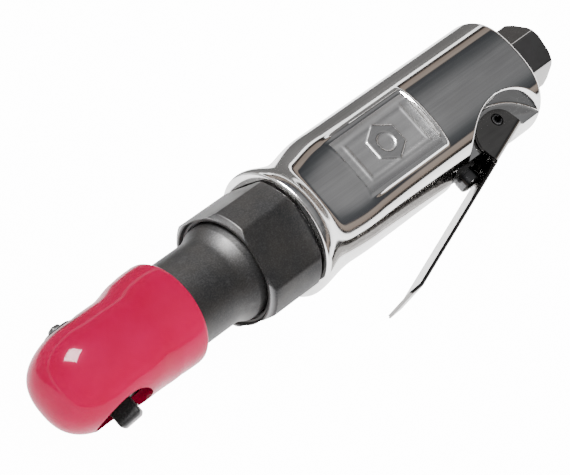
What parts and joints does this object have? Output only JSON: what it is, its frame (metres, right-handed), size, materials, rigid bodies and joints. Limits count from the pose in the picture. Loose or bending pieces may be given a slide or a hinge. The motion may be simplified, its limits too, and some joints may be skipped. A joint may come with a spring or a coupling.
{
  "type": "air ratchet",
  "caption": "Short air ratchet wrench with a booted ratchet head, square drive, clamp nut, polished grip, throttle lever and hex air inlet.",
  "frame": {"origin": "centre of the square drive's end face", "axes": "+X along the tool from the ratchet head to the air inlet, -Y out of the square drive and toward the throttle lever, +Z out of the grip's face with the name pocket"},
  "size_m": [0.1919, 0.0534, 0.037],
  "materials": {
    "boot_pvc": "glossy dipped PVC",
    "black_oxide_steel": "black oxide, satin",
    "bright_steel": "ground",
    "lever_steel": "plated sheet",
    "gear_steel": "hobbed, oiled",
    "spring_steel": "oiled",
    "cast_iron": "ground faces",
    "polished_aluminium": "polished",
    "black_chrome": "black chrome",
    "brass": "plain",
    "vane_fibre": "pressed fibre",
    "seal_rubber": "plain",
    "muffler_felt": "felt"
  },
  "bodies": {
    "tool_body": {"boot": "boot_pvc", "ratchet_housing": "black_oxide_steel", "clamp_nut": "black_oxide_steel", "plunger_bushing": "black_oxide_steel", "thrust_washer": "bright_steel", "front_bearing_outer_race": "bright_steel", "rear_bearing_outer_race": "bright_steel", "cylinder_dowel": "bright_steel", "ring_gear": "gear_steel", "spring_washer": "spring_steel", "lever_roll_pin": "spring_steel", "valve_spring": "spring_steel", "front_end_plate": "cast_iron", "rear_end_plate": "cast_iron", "motor_cylinder": "cast_iron", "motor_housing": "polished_aluminium", "inlet_bushing": "black_chrome", "crank_front_bearing": "brass", "crank_rear_bearing": "brass", "inlet_screen": "brass", "inlet_seal": "seal_rubber", "exhaust_muffler": "muffler_felt"},
    "lever": {"throttle_lever": "lever_steel"},
    "plunger": {"throttle_plunger": "black_oxide_steel", "plunger_seal": "seal_rubber"},
    "spindle": {"square_drive": "black_oxide_steel", "socket_ball_spring": "spring_steel", "pawl_pin": "bright_steel", "retaining_ring": "spring_steel"},
    "ball": {"socket_ball": "bright_steel"},
    "pawl": {"ratchet_pawl": "bright_steel"},
    "knob": {"reverse_knob": "black_oxide_steel", "knob_plunger": "bright_steel", "knob_plunger_spring": "spring_steel"},
    "yoke": {"ratchet_yoke": "bright_steel"},
    "crank": {"crankshaft": "bright_steel", "drive_bushing": "bright_steel", "planet_pin_1": "bright_steel", "planet_pin_2": "bright_steel", "planet_pin_3": "bright_steel"},
    "planet_1": {"planet_gear_1": "gear_steel"},
    "planet_2": {"planet_gear_2": "gear_steel"},
    "planet_3": {"planet_gear_3": "gear_steel"},
    "motor_rotor": {"rotor": "bright_steel", "rotor_pinion": "gear_steel", "front_bearing_inner_race": "bright_steel", "rear_bearing_inner_race": "bright_steel", "rotor_vane_1": "vane_fibre", "rotor_vane_2": "vane_fibre", "rotor_vane_3": "vane_fibre", "rotor_vane_4": "vane_fibre", "rotor_vane_5": "vane_fibre"},
    "front_cage": {"front_bearing_ball_cage": "brass"},
    "rear_cage": {"rear_bearing_ball_cage": "brass"}
  },
  "joints": [
    {"name": "lever_pull", "type": "hinge", "parent": "tool_body", "child": "lever", "pos_m": [0.145, 0.0054, 0], "axis": [0, 0, -1], "range_deg": [0, 13], "stiffness_Nm_per_rad": 0.4, "springref_deg": -28.65},
    {"name": "plunger_push", "type": "slide", "parent": "tool_body", "child": "plunger", "axis": [0, 1, 0], "range_m": [0, 0.0042], "deforming": ["valve_spring"]},
    {"name": "rotor_spin", "type": "hinge", "parent": "tool_body", "child": "motor_rotor", "pos_m": [0.1045, 0.0167, 0], "axis": [1, 0, 0], "continuous": true},
    {"name": "crank_spin", "type": "hinge", "parent": "tool_body", "child": "crank", "pos_m": [0.045, 0.0167, 0], "axis": [1, 0, 0], "continuous": true},
    {"name": "planet_1_spin", "type": "hinge", "parent": "crank", "child": "planet_1", "pos_m": [0.079, 0.02405, 0], "axis": [1, 0, 0], "continuous": true},
    {"name": "planet_2_spin", "type": "hinge", "parent": "crank", "child": "planet_2", "pos_m": [0.079, 0.01303, 0.00637], "axis": [1, 0, 0], "continuous": true},
    {"name": "planet_3_spin", "type": "hinge", "parent": "crank", "child": "planet_3", "pos_m": [0.079, 0.01303, -0.00637], "axis": [1, 0, 0], "continuous": true},
    {"name": "front_cage_spin", "type": "hinge", "parent": "tool_body", "child": "front_cage", "pos_m": [0.0875, 0.0167, 0], "axis": [1, 0, 0], "continuous": true},
    {"name": "rear_cage_spin", "type": "hinge", "parent": "tool_body", "child": "rear_cage", "pos_m": [0.1211, 0.0167, 0], "axis": [1, 0, 0], "continuous": true},
    {"name": "yoke_rock", "type": "hinge", "parent": "tool_body", "child": "yoke", "pos_m": [0, 0.0167, 0], "axis": [0, 1, 0], "range_deg": [-3.5, 3.5]},
    {"name": "drive_spin", "type": "hinge", "parent": "tool_body", "child": "spindle", "pos_m": [0, 0.0167, 0], "axis": [0, 1, 0], "continuous": true},
    {"name": "reverse_turn", "type": "hinge", "parent": "spindle", "child": "knob", "pos_m": [0, 0.0167, 0], "axis": [0, 1, 0], "range_deg": [-30, 30]},
    {"name": "pawl_tip", "type": "hinge", "parent": "spindle", "child": "pawl", "pos_m": [0, 0.0167, 0], "axis": [0, 1, 0], "range_deg": [-8.1, 8.1]},
    {"name": "socket_ball_press", "type": "slide", "parent": "spindle", "child": "ball", "axis": [-0.829, 0, -0.5592], "range_m": [0, 0.0004], "stiffness_N_per_m": 500, "springref_m": -0.002}
  ],
  "couplings": [
    {"joint": "plunger_push", "follows": "lever_pull", "m_per_rad": 0.0175},
    {"joint": "crank_spin", "follows": "rotor_spin", "ratio": 0.21429},
    {"joint": "planet_1_spin", "follows": "rotor_spin", "ratio": -0.58929},
    {"joint": "planet_2_spin", "follows": "rotor_spin", "ratio": -0.58929},
    {"joint": "planet_3_spin", "follows": "rotor_spin", "ratio": -0.58929},
    {"joint": "front_cage_spin", "follows": "rotor_spin", "ratio": 0.43564},
    {"joint": "rear_cage_spin", "follows": "rotor_spin", "ratio": 0.43564},
    {"joint": "pawl_tip", "follows": "reverse_turn", "ratio": 0.2667}
  ]
}
